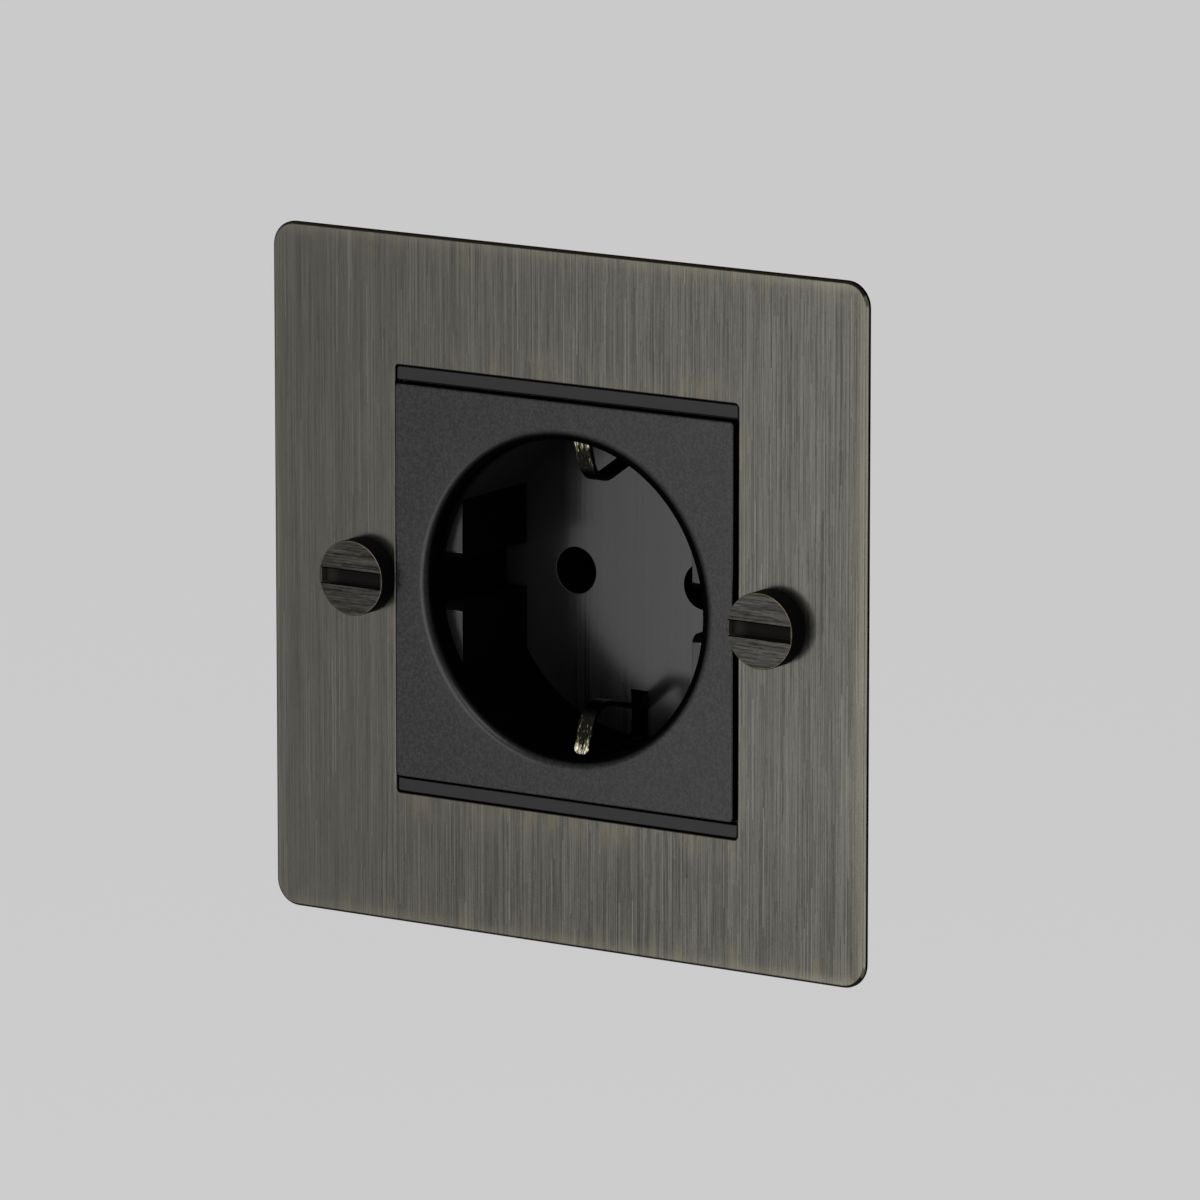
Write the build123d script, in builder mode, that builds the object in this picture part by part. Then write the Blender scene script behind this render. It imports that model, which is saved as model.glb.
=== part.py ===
from build123d import *
import math
import os

# A side-earth wall socket in a square brushed metal plate, with the pieces behind the plate.
# Millimetres. The origin is the middle of the plate's back face, which lies on the wall.
# X points right and Z points up as the socket is seen, and Y points into the wall.

os.makedirs("parts", exist_ok=True)

# Plug side: the recess, its guide blocks and its pin holes
recess_radius = 20.0
recess_depth = 17.5
rim_radius = 1.3
rim_bands = 4  # cone bands that make up the rim's rounding
guide_height = 3.05  # from the mouth's radius in to the flat of a guide block
guide_depth = 3.2  # from the face to the front of a guide block
guide_groove = 5.6  # opening between the upper and the lower block
guide_lead_in = 1.1
guide_clearance = 0.1
pin_spacing = 19.0
pin_radius = 2.4
pin_length = 19.0
pin_hole_clearance = 0.35
pin_hole_lead_in = 0.2
pin_boss_wall = 0.8
pin_boss_length = 6.5  # behind the floor
floor_thickness = 2.0

# Socket cover: square face, skirt and recess wall
recess_wall = 1.6
skirt_margin = 1.4  # from the recess wall to the outside of the skirt
skirt_wall = 1.6
skirt_corner = 2.5
face_lap = 1.9  # the face's border beyond the skirt
face_corner = 0.5
face_edge = 0.15
face_proud = 0.6  # how far the face stands out of the plate
hook_spacing = 26.0
hook_width = 6.0
hook_height = 0.8
hook_length = 3.0
hook_clearance = 0.1

# Front plate
plate_size = 87.4
plate_thickness = 0.8
plate_corner = 3.2
plate_edge = 0.3
window_side_gap = 0.35
window_corner = 0.55
window_edge = 0.12

# Frame behind the window, with a strip above and below the face
strip_height = 1.7
strip_setback = 0.2  # from the plate's front to the strip's front
strip_edge = 0.1
strip_face_gap = 0.36
strip_window_gap = 0.15
seat_depth = 0.6
frame_thickness = 3.0
frame_side_lap = 1.5
frame_end_lap = 6.4
frame_corner = 3.0
frame_clearance = 0.15

# Coin screws, which reach into the wall box
screw_margin = 5.25  # from the face's side to the screw's axis
coin_diameter = 9.55
coin_height = 2.8
coin_edge = 0.15
coin_slot_length = 8.8  # closed at both ends
coin_slot_width = 1.75
coin_slot_depth = 1.3
coin_neck_radius = 2.0
coin_thread_radius = 1.75
coin_thread_length = 16.0
coin_hole_clearance = 0.2

# Studs and nuts that hold the frame on the plate
stud_radius = 1.25
stud_end = 1.2  # beyond the nut
nut_flats = 5.0
nut_thickness = 2.0
stud_clearance = 0.1

# Earth strap with a sprung clip at each end
strap_thickness = 0.7
strap_width = 5.0
clip_width = 2.2
clip_reach = 6.9  # from the mouth's radius in to the corner where the clip's legs would meet
clip_apex_depth = 6.2  # from the face to that corner
clip_bend = 3.8
clip_tip_corner = 0.8
clip_tip_depth = 4.05  # from the face to the clip's tip
clip_root_inset = 3.5  # from the mouth's radius in to the bend behind the floor
clip_root_bend = 0.5
clip_slot_clearance = 0.15
clip_slot_reach = 5.7  # from the mouth's radius in to the near end of the floor slot
clip_slot_front = 3.4  # from the face to the front of the wall slot

# Contact sleeves
sleeve_bite = 0.1  # how much smaller than the pin the open sleeve is
sleeve_wall = 0.7
sleeve_slit = 1.6
sleeve_length = 10.0
sleeve_lead_in = 0.3
sleeve_gap = 0.3
web_thickness = 0.8
web_height = 6.0
web_offset = 0.4  # from the sleeve to the web

# Terminals
terminal_width = 6.5
terminal_height = 6.5
terminal_length = 10.0
terminal_setback = 1.3  # from the base to the front of a side terminal
tunnel_radius = 1.7
clamp_screw_radius = 1.5
clamp_screw_clearance = 0.05
clamp_head_radius = 2.3
clamp_head_height = 1.6
clamp_slot_width = 0.8
clamp_slot_depth = 0.9
clamp_tip_gap = 0.3
earth_terminal_inset = 4.2  # from the strap's lower bend up to the earth terminal
plate_terminal_rise = 16.0
plate_terminal_gap = 0.8

# Rear housing and its screws
housing_back_wall = 1.5
housing_edge = 1.0
flank_width = 5.0  # the back's sides slope in by this much
flank_depth = 7.5
pin_end_clearance = 0.7
pocket_clearance = 0.3
pin_boss_clearance = 0.15
bay_clearance = 0.25
post_inset = 4.6
post_radius = 3.2
post_screw_depth = 9.0
post_screw_radius = 1.25
post_screw_clearance = 0.1
post_head_radius = 2.4
post_head_height = 1.6
post_head_sunk = 0.6
post_slot_width = 0.7
post_slot_depth = 0.8

# Sizes that follow from the ones above
tube_radius = recess_radius + recess_wall
body_half = tube_radius + skirt_margin
body_size = 2 * body_half
face_size = body_size + 2 * face_lap
window_width = face_size + 2 * window_side_gap
window_height = face_size + 2 * (strip_face_gap + strip_height + strip_window_gap)
screw_x = face_size / 2 + screw_margin

plate_front = -plate_thickness
face_y = plate_front - face_proud
floor_y = face_y + recess_depth
base_back = floor_y + floor_thickness
guide_front = face_y + guide_depth
pocket_back = floor_y + pin_length + pin_end_clearance
housing_back = pocket_back + housing_back_wall

pin_x = pin_spacing / 2
pin_hole_radius = pin_radius + pin_hole_clearance
pin_boss_half = pin_hole_radius + pin_boss_wall
frame_width = window_width + 2 * frame_side_lap
frame_height = window_height + 2 * frame_end_lap
stud_rise = window_height / 2 + frame_end_lap / 2
post_x = body_half - post_inset
guide_chord = recess_radius - guide_height
clip_apex = recess_radius - clip_reach
clip_root = recess_radius - clip_root_inset
clip_slot_inner = recess_radius - clip_slot_reach
earth_terminal_place = clip_root - earth_terminal_inset
clip_slot_width = clip_width + 2 * clip_slot_clearance


def wall_plane(y):
    """A sketch plane parallel to the wall at depth y: its x is X, its y is Z and it faces the room."""
    return Plane.XZ.offset(-y)


def finish(builder, name):
    """Label a finished piece and write it out."""
    builder.part.label = name
    export_step(builder.part, f"parts/{name}.step")


# Front plate: flat sheet with the window and the two screw holes, its front edges eased
with BuildPart() as front_plate:
    with BuildSketch(wall_plane(0)):
        RectangleRounded(plate_size, plate_size, plate_corner)
        RectangleRounded(window_width, window_height, window_corner, mode=Mode.SUBTRACT)
        with Locations((-screw_x, 0), (screw_x, 0)):
            Circle(coin_neck_radius + coin_hole_clearance, mode=Mode.SUBTRACT)
    extrude(amount=plate_thickness)
    plate_face = front_plate.faces().sort_by(Axis.Y)[0]
    window_edges = plate_face.inner_wires().sort_by(SortBy.LENGTH)[-1].edges()
    chamfer(window_edges, window_edge)
    plate_face = front_plate.faces().sort_by(Axis.Y)[0]
    chamfer(plate_face.outer_wire().edges(), plate_edge)
finish(front_plate, "front_plate")

# Coin screws: slotted round heads on the plate, a plain neck in its hole and the thread behind it
with BuildPart() as coin_screws:
    with BuildSketch(wall_plane(plate_front)):
        with Locations((-screw_x, 0), (screw_x, 0)):
            Circle(coin_diameter / 2)
    extrude(amount=coin_height)
    chamfer(coin_screws.edges().group_by(Axis.Y)[0], coin_edge)
    with BuildSketch(wall_plane(plate_front - coin_height)):
        with Locations((-screw_x, 0), (screw_x, 0)):
            Rectangle(coin_slot_length, coin_slot_width)
    extrude(amount=-coin_slot_depth, mode=Mode.SUBTRACT)
    with BuildSketch(wall_plane(plate_front)):
        with Locations((-screw_x, 0), (screw_x, 0)):
            Circle(coin_neck_radius)
    extrude(amount=-plate_thickness)
    with BuildSketch(wall_plane(0)):
        with Locations((-screw_x, 0), (screw_x, 0)):
            Circle(coin_thread_radius)
    extrude(amount=-coin_thread_length)
finish(coin_screws, "coin_screws")

# Studs welded on the back of the plate
with BuildPart() as plate_studs:
    with BuildSketch(wall_plane(0)):
        with GridLocations(0, 2 * stud_rise, 1, 2):
            Circle(stud_radius)
    extrude(amount=-(frame_thickness + nut_thickness + stud_end))
finish(plate_studs, "plate_studs")

# Nuts on the studs, against the back of the frame
with BuildPart() as stud_nuts:
    with BuildSketch(wall_plane(frame_thickness)):
        with GridLocations(0, 2 * stud_rise, 1, 2):
            RegularPolygon(nut_flats / 2, 6, major_radius=False)
            Circle(stud_radius + stud_clearance, mode=Mode.SUBTRACT)
    extrude(amount=-nut_thickness)
finish(stud_nuts, "stud_nuts")

# Frame: flat ring against the plate's back, with a sunk seat for the face and the two strips
with BuildPart() as module_frame:
    bore_size = body_size + 2 * frame_clearance
    seat_size = face_size + 2 * strip_face_gap
    with BuildSketch(wall_plane(0)):
        RectangleRounded(frame_width, frame_height, frame_corner)
        RectangleRounded(bore_size, bore_size, skirt_corner, mode=Mode.SUBTRACT)
        with GridLocations(0, 2 * stud_rise, 1, 2):
            Circle(stud_radius + stud_clearance, mode=Mode.SUBTRACT)
    extrude(amount=-frame_thickness)
    with BuildSketch(wall_plane(0)):
        RectangleRounded(seat_size, seat_size, face_corner + strip_face_gap)
    extrude(amount=-seat_depth, mode=Mode.SUBTRACT)
    with BuildSketch(wall_plane(0)) as strips:
        with GridLocations(0, seat_size + strip_height, 1, 2):
            Rectangle(window_width - 2 * strip_window_gap, strip_height)
        corner_rows = strips.vertices().group_by(Axis.Y)
        fillet(corner_rows[0] + corner_rows[-1], window_corner - strip_window_gap)
    extrude(amount=plate_thickness - strip_setback)
    chamfer(module_frame.edges().group_by(Axis.Y)[0], strip_edge)
finish(module_frame, "module_frame")

# Socket cover: square face, round recess wall, skirt, snap hooks and screw posts in one moulding
with BuildPart() as socket_cover:
    with BuildSketch(wall_plane(face_y)):
        RectangleRounded(face_size, face_size, face_corner)
    extrude(amount=-(seat_depth - face_y))
    chamfer(socket_cover.faces().sort_by(Axis.Y)[0].edges(), face_edge)
    with BuildSketch(wall_plane(seat_depth)):
        RectangleRounded(body_size, body_size, skirt_corner)
        skirt_inside = body_size - 2 * skirt_wall
        Rectangle(skirt_inside, skirt_inside, mode=Mode.SUBTRACT)
        Circle(tube_radius)
        with Locations((-post_x, post_x), (post_x, -post_x)):
            Circle(post_radius)
    extrude(amount=-(floor_y - seat_depth))
    with BuildSketch(Plane.XY):
        with BuildLine():
            rim_turns = [math.radians(90 * band / rim_bands) for band in range(rim_bands + 1)]
            rim_points = [
                (
                    recess_radius + rim_radius * (1 - math.sin(turn)),
                    face_y + rim_radius * (1 - math.cos(turn)),
                )
                for turn in rim_turns
            ]
            Polyline(
                *rim_points,
                (recess_radius, floor_y),
                (0, floor_y),
                (0, face_y),
                close=True,
            )
        make_face()
    revolve(axis=Axis.Y, mode=Mode.SUBTRACT)
    with BuildSketch(wall_plane(face_y + clip_slot_front)):
        Rectangle(clip_slot_width, skirt_inside)
    extrude(amount=-(recess_depth - clip_slot_front), mode=Mode.SUBTRACT)
    with BuildSketch(wall_plane(floor_y)):
        with Locations((-post_x, post_x), (post_x, -post_x)):
            Circle(post_screw_radius + post_screw_clearance)
    extrude(amount=post_screw_depth, mode=Mode.SUBTRACT)
    hook_front = frame_thickness + hook_clearance
    for hook_x in (-hook_spacing / 2, hook_spacing / 2):
        for up in (-1, 1):
            with BuildSketch(Plane.YZ.offset(hook_x)):
                with BuildLine():
                    Polyline(
                        (hook_front, up * (body_half - skirt_wall / 2)),
                        (hook_front, up * (body_half + hook_height)),
                        (hook_front + hook_length, up * body_half),
                        (hook_front + hook_length, up * (body_half - skirt_wall / 2)),
                        close=True,
                    )
                make_face()
            extrude(amount=hook_width / 2, both=True)
finish(socket_cover, "socket_cover")

# Guide blocks: a disc that fits the recess wall, cut down to the four blocks at its sides
with BuildPart() as guide_blocks:
    with BuildSketch(wall_plane(floor_y)):
        Circle(recess_radius - guide_clearance)
    extrude(amount=floor_y - guide_front)
    with BuildSketch(wall_plane(floor_y)):
        with GridLocations(2 * guide_chord + recess_radius, guide_groove + recess_radius, 2, 2):
            Rectangle(recess_radius, recess_radius)
    extrude(amount=recess_depth, mode=Mode.INTERSECT)
    fillet(guide_blocks.edges().filter_by(Axis.X).group_by(Axis.Y)[0], guide_lead_in)

# Contact base: the recess floor with its pin holes and earth slots, and the guide blocks on it
with BuildPart() as contact_base:
    slot_outer = recess_radius + clip_slot_clearance
    with BuildSketch(wall_plane(floor_y)):
        RectangleRounded(body_size, body_size, skirt_corner)
        with Locations((-pin_x, 0), (pin_x, 0)):
            Circle(pin_hole_radius, mode=Mode.SUBTRACT)
        with GridLocations(0, slot_outer + clip_slot_inner, 1, 2):
            Rectangle(clip_slot_width, slot_outer - clip_slot_inner, mode=Mode.SUBTRACT)
        with Locations((-post_x, post_x), (post_x, -post_x)):
            Circle(post_screw_radius + post_screw_clearance, mode=Mode.SUBTRACT)
    extrude(amount=-floor_thickness)
    floor_rims = contact_base.edges().filter_by(GeomType.CIRCLE).group_by(Axis.Y)[0]
    chamfer(floor_rims.group_by(SortBy.RADIUS)[-1], pin_hole_lead_in)
    add(guide_blocks.part)
    with BuildSketch(wall_plane(base_back)):
        with Locations((-pin_x, 0), (pin_x, 0)):
            Rectangle(2 * pin_boss_half, 2 * pin_boss_half)
            Circle(pin_hole_radius, mode=Mode.SUBTRACT)
    extrude(amount=-pin_boss_length)
finish(contact_base, "contact_base")

# Earth strap: one strip, flat behind the floor, with both ends bent forward into sprung clips
with BuildPart() as earth_strap:
    tip_y = face_y + clip_tip_depth
    apex_y = face_y + clip_apex_depth
    with BuildSketch(Plane.YZ):
        with BuildLine():
            FilletPolyline(
                (tip_y, -recess_radius),
                (apex_y, -clip_apex),
                (base_back, -clip_root),
                (base_back, clip_root),
                (apex_y, clip_apex),
                (tip_y, recess_radius),
                radius=[clip_bend, clip_root_bend, clip_root_bend, clip_bend],
            )
            offset(amount=strap_thickness, side=Side.RIGHT)
        make_face()
    extrude(amount=clip_width / 2, both=True)
    tip_ends = earth_strap.faces().sort_by(Axis.Z)
    for tip_end in (tip_ends[0], tip_ends[-1]):
        fillet(tip_end.edges().sort_by(Edge.length)[:2], clip_tip_corner)
    with BuildSketch(wall_plane(base_back)):
        Rectangle(strap_width, 2 * (clip_root - 2 * clip_root_bend))
    extrude(amount=-strap_thickness)
finish(earth_strap, "earth_strap")

# Contact sleeves: a slit tube for the pin, joined by a neck to the web that carries the terminal
sleeve_bore = pin_radius - sleeve_bite
sleeve_outer = sleeve_bore + sleeve_wall
web_inner = pin_x + sleeve_outer + web_offset
web_outer = web_inner + web_thickness
sleeve_front = base_back + pin_boss_length + sleeve_gap
for side, name in ((-1, "left_contact"), (1, "right_contact")):
    with BuildPart() as contact:
        with BuildSketch(wall_plane(sleeve_front)):
            with Locations((side * (web_inner + web_thickness / 2), 0)):
                Rectangle(web_thickness, web_height)
            with Locations((side * (pin_x + web_inner) / 2, 0)):
                Rectangle(web_inner - pin_x, sleeve_outer)
            with Locations((side * pin_x, 0)):
                Circle(sleeve_outer)
                Circle(sleeve_bore, mode=Mode.SUBTRACT)
            with Locations((side * (pin_x - sleeve_outer / 2), 0)):
                Rectangle(sleeve_outer, sleeve_slit, mode=Mode.SUBTRACT)
        extrude(amount=-sleeve_length)
        mouth_arcs = contact.edges().filter_by(GeomType.CIRCLE).group_by(Axis.Y)[0]
        chamfer(mouth_arcs.group_by(SortBy.RADIUS)[0], sleeve_lead_in)
    finish(contact, name)

# Side terminals: blocks against the webs, with a wire tunnel from the back and a screw hole at the side
terminal_x = web_outer + terminal_width / 2
terminal_front = base_back + terminal_setback
terminal_mid = terminal_front + terminal_length / 2
for side, name in ((-1, "left_terminal"), (1, "right_terminal")):
    outer_side = Plane((side * (web_outer + terminal_width), terminal_mid, 0), z_dir=(side, 0, 0))
    with BuildPart() as terminal:
        with BuildSketch(wall_plane(terminal_front)):
            with Locations((side * terminal_x, 0)):
                Rectangle(terminal_width, terminal_height)
                Circle(tunnel_radius, mode=Mode.SUBTRACT)
        extrude(amount=-terminal_length)
        with BuildSketch(outer_side):
            Circle(clamp_screw_radius + clamp_screw_clearance)
        extrude(amount=-terminal_width / 2, mode=Mode.SUBTRACT)
    finish(terminal, name)

# Earth terminal: the same block against the strap's back, with its screw hole underneath
earth_front = base_back + strap_thickness
earth_mid = earth_front + terminal_length / 2
earth_under = -earth_terminal_place - terminal_height / 2
with BuildPart() as earth_terminal:
    with BuildSketch(wall_plane(earth_front)):
        with Locations((0, -earth_terminal_place)):
            Rectangle(terminal_width, terminal_height)
            Circle(tunnel_radius, mode=Mode.SUBTRACT)
    extrude(amount=-terminal_length)
    with BuildSketch(Plane((0, earth_mid, earth_under), z_dir=(0, 0, -1))):
        Circle(clamp_screw_radius + clamp_screw_clearance)
    extrude(amount=-terminal_height / 2, mode=Mode.SUBTRACT)
finish(earth_terminal, "earth_terminal")


def clamp_screw(seat, depth):
    """One slotted clamp screw: its head stands on the seat plane and its shank goes down to depth."""
    with BuildSketch(seat) as head:
        Circle(clamp_head_radius)
    extrude(head.sketch, amount=clamp_head_height)
    with BuildSketch(seat.offset(clamp_head_height)) as slot:
        Rectangle(2 * clamp_head_radius, clamp_slot_width)
    extrude(slot.sketch, amount=-clamp_slot_depth, mode=Mode.SUBTRACT)
    with BuildSketch(seat) as shank:
        Circle(clamp_screw_radius)
    extrude(shank.sketch, amount=-depth)


# Terminal screws: backed off so that the wire tunnels are open
side_screw_depth = terminal_width / 2 - tunnel_radius - clamp_tip_gap
earth_screw_depth = terminal_height / 2 - tunnel_radius - clamp_tip_gap
with BuildPart() as terminal_screws:
    for side in (-1, 1):
        seat_x = side * (web_outer + terminal_width)
        clamp_screw(Plane((seat_x, terminal_mid, 0), z_dir=(side, 0, 0)), side_screw_depth)
    clamp_screw(Plane((0, earth_mid, earth_under), z_dir=(0, 0, -1)), earth_screw_depth)
finish(terminal_screws, "terminal_screws")

# Plate earth terminal: a block on the back of the plate beside the frame, with an upright tunnel
plate_terminal_x = frame_width / 2 + plate_terminal_gap + terminal_width / 2
plate_terminal_seat = Plane(
    (plate_terminal_x, terminal_height, plate_terminal_rise), z_dir=(0, 1, 0)
)
with BuildPart() as plate_earth_terminal:
    with BuildSketch(Plane.XY.offset(plate_terminal_rise - terminal_length / 2)):
        with Locations((plate_terminal_x, terminal_height / 2)):
            Rectangle(terminal_width, terminal_height)
            Circle(tunnel_radius, mode=Mode.SUBTRACT)
    extrude(amount=terminal_length)
    with BuildSketch(plate_terminal_seat):
        Circle(clamp_screw_radius + clamp_screw_clearance)
    extrude(amount=-terminal_height / 2, mode=Mode.SUBTRACT)
finish(plate_earth_terminal, "plate_earth_terminal")

# Plate earth screw: the same clamp screw, turned in from behind
with BuildPart() as plate_earth_screw:
    clamp_screw(plate_terminal_seat, earth_screw_depth)
finish(plate_earth_screw, "plate_earth_screw")

# Rear housing: a block with pockets for the sleeves and open bays for the terminals
with BuildPart() as rear_housing:
    with BuildSketch(wall_plane(base_back)):
        RectangleRounded(body_size, body_size, skirt_corner)
    extrude(amount=-(housing_back - base_back))
    for side in (-1, 1):
        with BuildSketch(Plane.XY):
            with BuildLine():
                Polyline(
                    (side * body_half, housing_back),
                    (side * (body_half - flank_width), housing_back),
                    (side * body_half, housing_back - flank_depth),
                    close=True,
                )
            make_face()
        extrude(amount=body_half, both=True, mode=Mode.SUBTRACT)
    chamfer(rear_housing.faces().sort_by(Axis.Y)[-1].edges(), housing_edge)
    pocket_half = pin_boss_half + pin_boss_clearance
    pocket_inner = pin_x - pocket_half
    pocket_outer = web_outer + pocket_clearance
    with BuildSketch(wall_plane(base_back)):
        with GridLocations(pocket_inner + pocket_outer, 0, 2, 1):
            Rectangle(pocket_outer - pocket_inner, 2 * pocket_half)
    extrude(amount=-(pocket_back - base_back), mode=Mode.SUBTRACT)
    with BuildSketch(wall_plane(base_back)):
        Rectangle(strap_width + 2 * pocket_clearance, 2 * (clip_root + strap_thickness + pocket_clearance))
    extrude(amount=-(strap_thickness + pocket_clearance), mode=Mode.SUBTRACT)
    bay_height = terminal_height + 2 * bay_clearance
    with BuildSketch(wall_plane(terminal_front - bay_clearance)):
        with GridLocations(web_outer + body_size, 0, 2, 1):
            Rectangle(body_size - web_outer, bay_height)
    extrude(amount=-(housing_back - base_back), mode=Mode.SUBTRACT)
    earth_bay_top = earth_terminal_place - terminal_height / 2 - bay_clearance
    with BuildSketch(wall_plane(earth_front)):
        with Locations((0, -(earth_bay_top + body_size) / 2)):
            Rectangle(terminal_width + 2 * bay_clearance, body_size - earth_bay_top)
    extrude(amount=-(housing_back - base_back), mode=Mode.SUBTRACT)
    with BuildSketch(wall_plane(base_back)):
        with Locations((-post_x, post_x), (post_x, -post_x)):
            Circle(post_screw_radius + post_screw_clearance)
    extrude(amount=-(housing_back - base_back), mode=Mode.SUBTRACT)
    with BuildSketch(wall_plane(housing_back)):
        with Locations((-post_x, post_x), (post_x, -post_x)):
            Circle(post_head_radius + post_screw_clearance)
    extrude(amount=post_head_height + post_head_sunk, mode=Mode.SUBTRACT)
finish(rear_housing, "rear_housing")

# Housing screws: long screws from the back through the housing and the base into the cover's posts
with BuildPart() as housing_screws:
    head_seat = housing_back - post_head_sunk - post_head_height
    with BuildSketch(wall_plane(head_seat)):
        with Locations((-post_x, post_x), (post_x, -post_x)):
            Circle(post_head_radius)
    extrude(amount=-post_head_height)
    with BuildSketch(wall_plane(head_seat + post_head_height)):
        with Locations((-post_x, post_x), (post_x, -post_x)):
            Rectangle(2 * post_head_radius, post_slot_width)
    extrude(amount=post_slot_depth, mode=Mode.SUBTRACT)
    with BuildSketch(wall_plane(head_seat)):
        with Locations((-post_x, post_x), (post_x, -post_x)):
            Circle(post_screw_radius)
    extrude(amount=head_seat - floor_y + post_screw_depth - post_screw_radius)
finish(housing_screws, "housing_screws")
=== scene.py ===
import bpy
import math
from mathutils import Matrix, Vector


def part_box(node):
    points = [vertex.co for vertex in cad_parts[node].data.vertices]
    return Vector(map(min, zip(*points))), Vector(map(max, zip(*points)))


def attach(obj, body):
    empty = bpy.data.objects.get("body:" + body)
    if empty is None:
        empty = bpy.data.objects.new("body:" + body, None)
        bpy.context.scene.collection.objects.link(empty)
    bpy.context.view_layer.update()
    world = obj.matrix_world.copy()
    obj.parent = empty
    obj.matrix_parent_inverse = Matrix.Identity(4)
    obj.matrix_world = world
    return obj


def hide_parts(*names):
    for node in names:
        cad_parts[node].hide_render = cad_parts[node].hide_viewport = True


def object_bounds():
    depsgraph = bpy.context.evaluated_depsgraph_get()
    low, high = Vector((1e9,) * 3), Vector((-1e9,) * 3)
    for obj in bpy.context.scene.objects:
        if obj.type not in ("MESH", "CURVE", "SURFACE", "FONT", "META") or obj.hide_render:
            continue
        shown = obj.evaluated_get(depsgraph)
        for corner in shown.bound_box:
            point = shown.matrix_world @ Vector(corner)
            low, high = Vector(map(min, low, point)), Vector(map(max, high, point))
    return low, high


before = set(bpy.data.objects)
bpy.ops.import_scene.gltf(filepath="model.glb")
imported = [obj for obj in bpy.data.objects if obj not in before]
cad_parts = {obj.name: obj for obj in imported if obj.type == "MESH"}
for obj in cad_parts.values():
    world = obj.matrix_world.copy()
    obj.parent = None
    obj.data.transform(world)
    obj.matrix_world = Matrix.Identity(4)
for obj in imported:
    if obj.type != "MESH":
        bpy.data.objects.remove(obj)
cad_low, cad_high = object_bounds()


# Contact sleeves: two slit tubes that grip the plug's pins, each on a web.
# They are stamped and rolled from bare brass strip, and sit in pockets of the rear housing.
mm = 0.001
weld_distance = 0.001 * mm


def take(piece):
    """Selects this piece alone."""
    bpy.ops.object.select_all(action="DESELECT")
    bpy.context.view_layer.objects.active = piece
    piece.select_set(True)


def shape_with(piece, modifier, **settings):
    """Adds a modifier with these settings to the active piece and applies it."""
    shaping = piece.modifiers.new("shaping", modifier)
    for key, value in settings.items():
        setattr(shaping, key, value)
    bpy.ops.object.modifier_apply(modifier=shaping.name)


def soften(piece, round_over, crease=35):
    """Rounds sharp edges over by at most so many millimetres and shades the rest smooth up to the crease angle.

    Blender holds the whole bevel back where edges of a mesh lie close together, so it is often thinner.
    The housing screws, the frame and the rear housing keep almost none of it.
    """
    take(piece)
    shape_with(piece, "BEVEL", width=round_over * mm, segments=3, angle_limit=math.radians(40))
    bpy.ops.object.shade_smooth_by_angle(angle=math.radians(crease))
    shape_with(piece, "WEIGHTED_NORMAL", keep_sharp=True)


def stand_for(piece, node):
    """Hangs a finished piece from the root and hides the plain solid that it stands for."""
    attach(piece, "root")
    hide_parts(node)
    return piece


def eased(node, round_over):
    """A copy of a solid with its facets joined and its edges rounded over, which stands for it."""
    piece = bpy.data.objects.new(f"{node}_eased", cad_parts[node].data.copy())
    bpy.context.scene.collection.objects.link(piece)
    take(piece)
    bpy.ops.object.mode_set(mode="EDIT")
    bpy.ops.mesh.select_all(action="SELECT")
    bpy.ops.mesh.remove_doubles(threshold=weld_distance)
    bpy.ops.mesh.dissolve_limited(angle_limit=math.radians(0.5))
    bpy.ops.object.mode_set(mode="OBJECT")
    soften(piece, round_over)
    return stand_for(piece, node)


class Reading:
    """Something read on a surface. Sums on readings add Math nodes to the finish."""

    def __init__(self, finish, socket):
        self.finish = finish
        self.socket = socket

    def worked(self, operation, *values):
        """A Math node on these values."""
        return self.finish.node("ShaderNodeMath", {"operation": operation}, dict(enumerate(values)))

    def __add__(self, other):
        return self.worked("ADD", self, other)

    def __sub__(self, other):
        return self.worked("SUBTRACT", self, other)

    def __rsub__(self, other):
        return self.worked("SUBTRACT", other, self)

    def __mul__(self, other):
        return self.worked("MULTIPLY", self, other)

    def __abs__(self):
        return self.worked("ABSOLUTE", self)

    __radd__ = __add__
    __rmul__ = __mul__

    def least(self, other):
        return self.worked("MINIMUM", self, other)

    def most(self, other):
        return self.worked("MAXIMUM", self, other)

    def root(self):
        return self.worked("SQRT", self)

    def whole(self):
        """The whole number below it."""
        return self.worked("FLOOR", self)

    def rise(self, start, end):
        """0 below start and 1 above end, with a smooth step between."""
        settings = {"interpolation_type": "SMOOTHSTEP"}
        return self.finish.node("ShaderNodeMapRange", settings, {0: self, 1: start, 2: end})


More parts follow.
